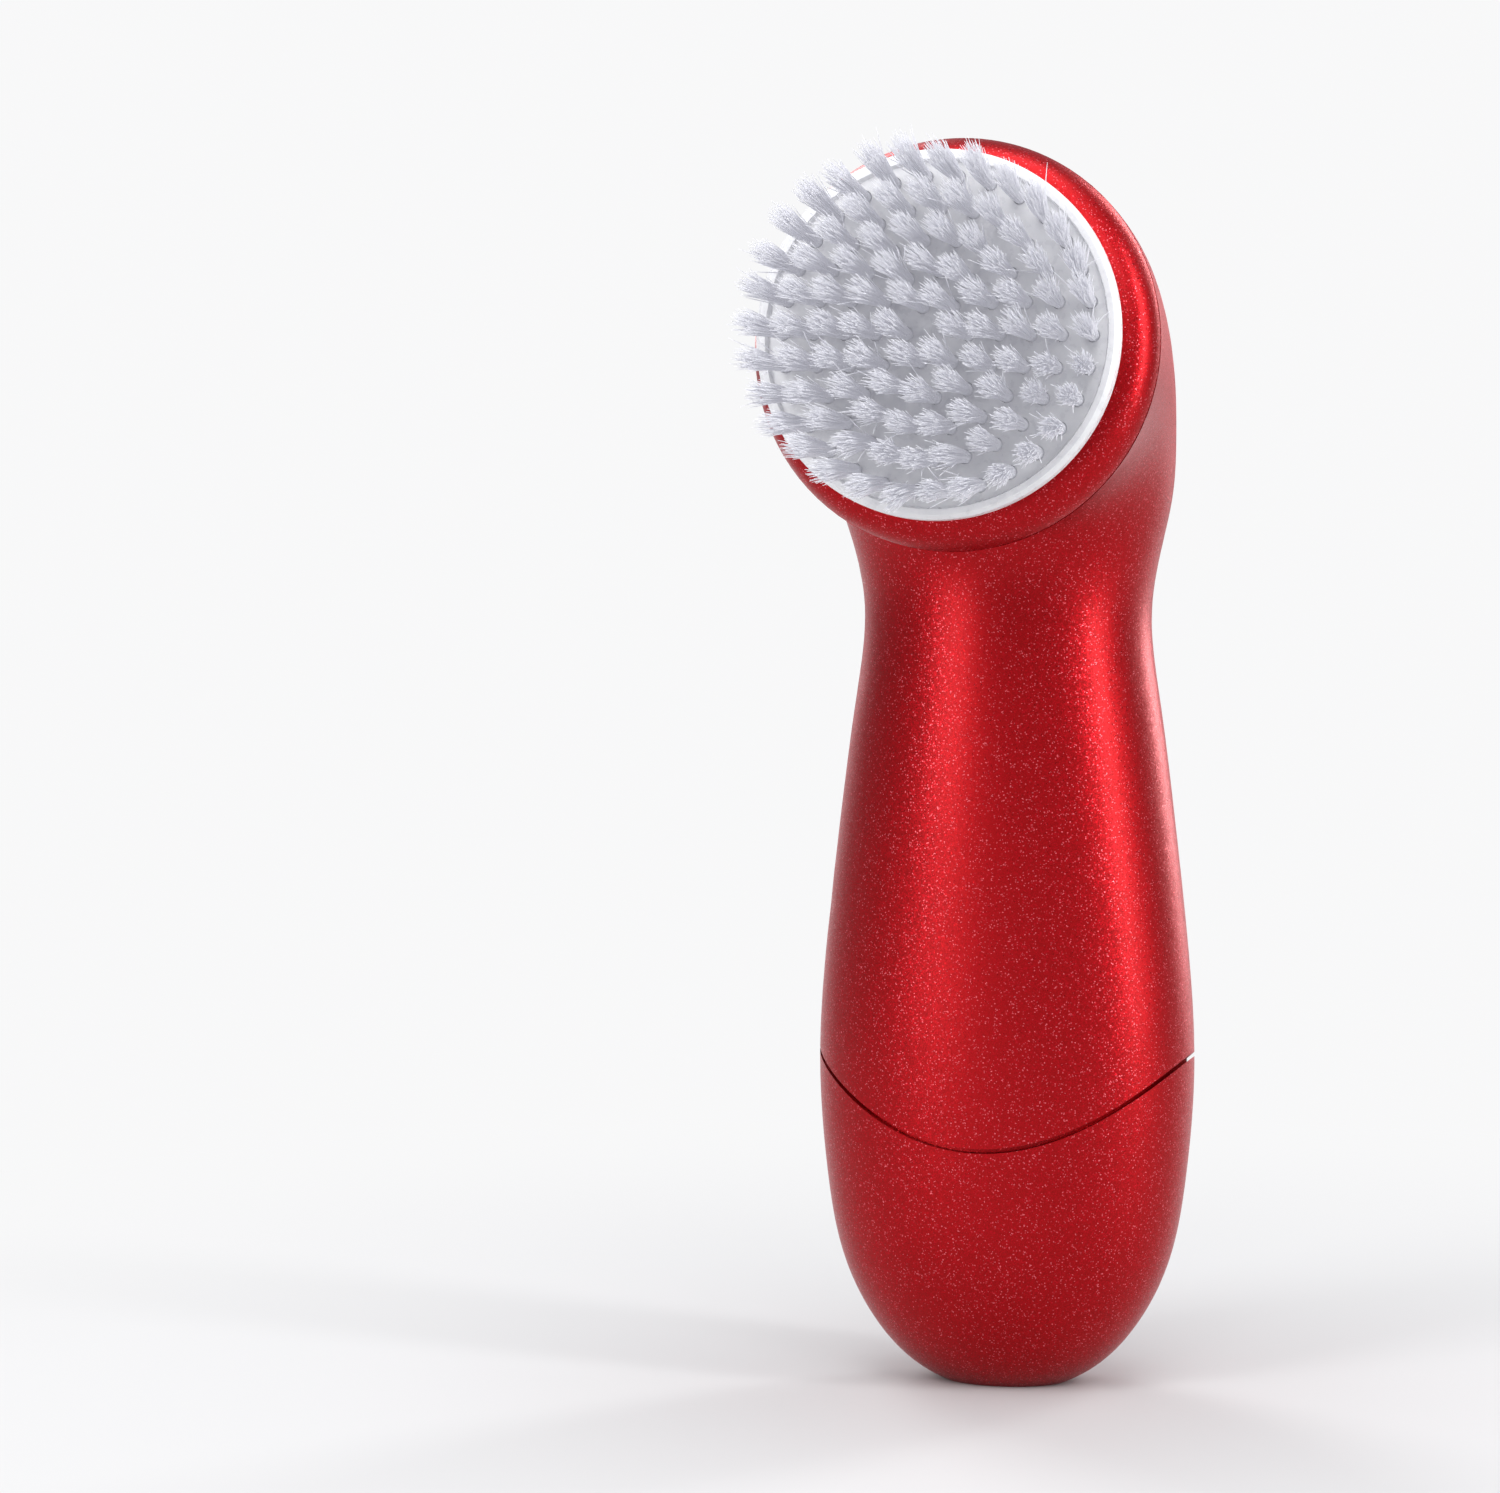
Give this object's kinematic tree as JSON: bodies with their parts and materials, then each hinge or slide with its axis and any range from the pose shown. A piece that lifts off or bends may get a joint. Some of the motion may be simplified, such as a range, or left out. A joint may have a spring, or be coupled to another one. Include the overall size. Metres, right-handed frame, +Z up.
{
  "type": "facial cleansing brush",
  "caption": "Battery facial cleansing brush: red pear-shaped handle bent forward at the head, with a round spinning white bristle brush that pulls off and a battery cap below.",
  "frame": {"origin": "centre of the flat foot that the handle stands on", "axes": "+Z up the handle, -Y the way the brush faces (the brush axis points 8 degrees above -Y), X = 0 is the mirror plane"},
  "size_m": [0.0498, 0.0719, 0.1553],
  "materials": {
    "red_paint": "satin metallic red lacquer with fine flake over moulded plastic",
    "red_button": "soft satin red",
    "white_plastic": "white moulded plastic, lightly glossy",
    "bristle": "white nylon filament",
    "frame_plastic": "natural moulded nylon",
    "gear_plastic": "acetal",
    "black_plastic": "black moulded plastic",
    "board": "green solder mask",
    "rubber_black": "nitrile",
    "rubber_grey": "silicone",
    "steel": "plated steel",
    "spring_steel": "nickel plated",
    "bronze": "sintered bronze",
    "magnet": "ferrite",
    "copper": "copper windings and laminations",
    "cell_wrap": "printed sleeve without lettering",
    "lead_red": "insulation"
  },
  "bodies": {
    "body": {"main_body": "red_paint", "head_front_cover": "red_paint", "battery_carrier": "white_plastic", "gearbox_frame": "frame_plastic", "gearbox_rear_plate": "frame_plastic", "motor_end_cap": "black_plastic", "switch_body": "black_plastic", "board_components": "black_plastic", "control_board": "board", "cover_gasket": "rubber_black", "shaft_seal": "rubber_black", "button_seal": "rubber_grey", "motor_can": "steel", "motor_bracket": "steel", "gear_axle": "steel", "axle_clip": "steel", "cover_screws": "steel", "frame_screws": "steel", "rear_plate_screws": "steel", "bracket_screws": "steel", "motor_screws": "steel", "board_screws": "steel", "carrier_screws": "steel", "front_bush": "bronze", "rear_bush": "bronze", "motor_magnets": "magnet", "positive_contact": "spring_steel", "negative_contact": "spring_steel", "cell_left": "cell_wrap", "cell_right": "cell_wrap", "motor_leads": "lead_red", "battery_leads": "lead_red"},
    "drive": {"output_shaft": "steel", "output_gear": "gear_plastic", "shaft_clip": "steel", "drive_boss": "white_plastic"},
    "brush_head": {"brush_base": "white_plastic", "bristle_tufts": "bristle", "tuft_staples": "steel"},
    "idler": {"compound_gear": "gear_plastic"},
    "rotor": {"motor_armature": "copper", "motor_shaft": "steel", "motor_pinion": "bronze"},
    "cap": {"battery_cap": "red_paint", "cap_liner": "red_button", "cap_gasket": "rubber_black", "cap_contact": "spring_steel", "cap_springs": "spring_steel"},
    "button": {"power_button": "red_button"},
    "plunger": {"switch_plunger": "rubber_grey"}
  },
  "joints": [
    {"name": "brush_spin", "type": "hinge", "parent": "body", "child": "drive", "pos_m": [0, -0.029, 0.1307], "axis": [0, -0.9903, 0.1392], "continuous": true},
    {"name": "brush_pull", "type": "slide", "parent": "drive", "child": "brush_head", "axis": [0, -0.9903, 0.1392], "range_m": [0, 0.02]},
    {"name": "idler_spin", "type": "hinge", "parent": "body", "child": "idler", "pos_m": [0, -0.00633, 0.11237], "axis": [0, -0.9903, 0.1392], "continuous": true},
    {"name": "motor_spin", "type": "hinge", "parent": "body", "child": "rotor", "pos_m": [0, -0.0017, 0.09505], "axis": [0, 0.1392, 0.9903], "continuous": true},
    {"name": "cap_pull", "type": "slide", "parent": "body", "child": "cap", "axis": [0, 0, -1], "range_m": [0, 0.06]},
    {"name": "button_press", "type": "slide", "parent": "body", "child": "button", "axis": [0, -1, 0], "range_m": [0, 0.0004]},
    {"name": "plunger_press", "type": "slide", "parent": "body", "child": "plunger", "axis": [0, -1, 0], "range_m": [0, 0.0004]}
  ],
  "couplings": [
    {"joint": "idler_spin", "follows": "brush_spin", "ratio": -4},
    {"joint": "motor_spin", "follows": "brush_spin", "ratio": -16},
    {"joint": "plunger_press", "follows": "button_press", "ratio": 1}
  ]
}
